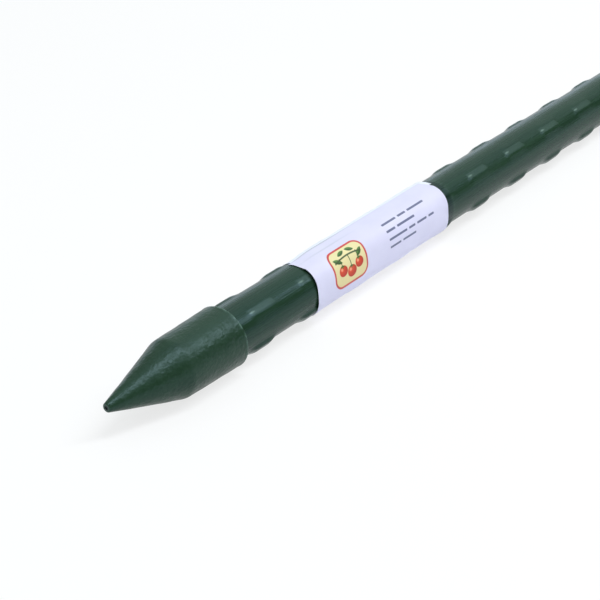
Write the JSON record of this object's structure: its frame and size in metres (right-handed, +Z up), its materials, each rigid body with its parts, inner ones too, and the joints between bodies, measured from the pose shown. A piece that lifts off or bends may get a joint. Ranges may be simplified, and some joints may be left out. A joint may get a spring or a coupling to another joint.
{
  "type": "plant stake",
  "caption": "Straight garden plant stake: steel tube in a green studded plastic coat, with a pointed push-on foot cap, a flat push-on top cap and a wrapped paper label.",
  "frame": {"origin": "on the surface that the stake lies on, below the middle of its length", "axes": "+X along the stake from the point to the top, +Z up from the surface, +Y level and square to the stake"},
  "size_m": [0.9, 0.0194, 0.0195],
  "materials": {
    "steel_tube": "bare rolled steel",
    "plastic_coat": "semi-gloss extruded dark green",
    "point_cap": "satin moulded dark green",
    "top_cap": "satin moulded dark green",
    "label": null
  },
  "bodies": {
    "shaft": {"steel_tube": "steel_tube", "plastic_coat": "plastic_coat", "label": "label"},
    "point_cap": {"point_cap": "point_cap"},
    "top_cap": {"top_cap": "top_cap"}
  },
  "joints": [
    {"name": "point_cap_pull", "type": "slide", "parent": "shaft", "child": "point_cap", "axis": [-1, 0, 0], "range_m": [0, 0.024]},
    {"name": "top_cap_pull", "type": "slide", "parent": "shaft", "child": "top_cap", "axis": [1, 0, 0], "range_m": [0, 0.024]}
  ]
}
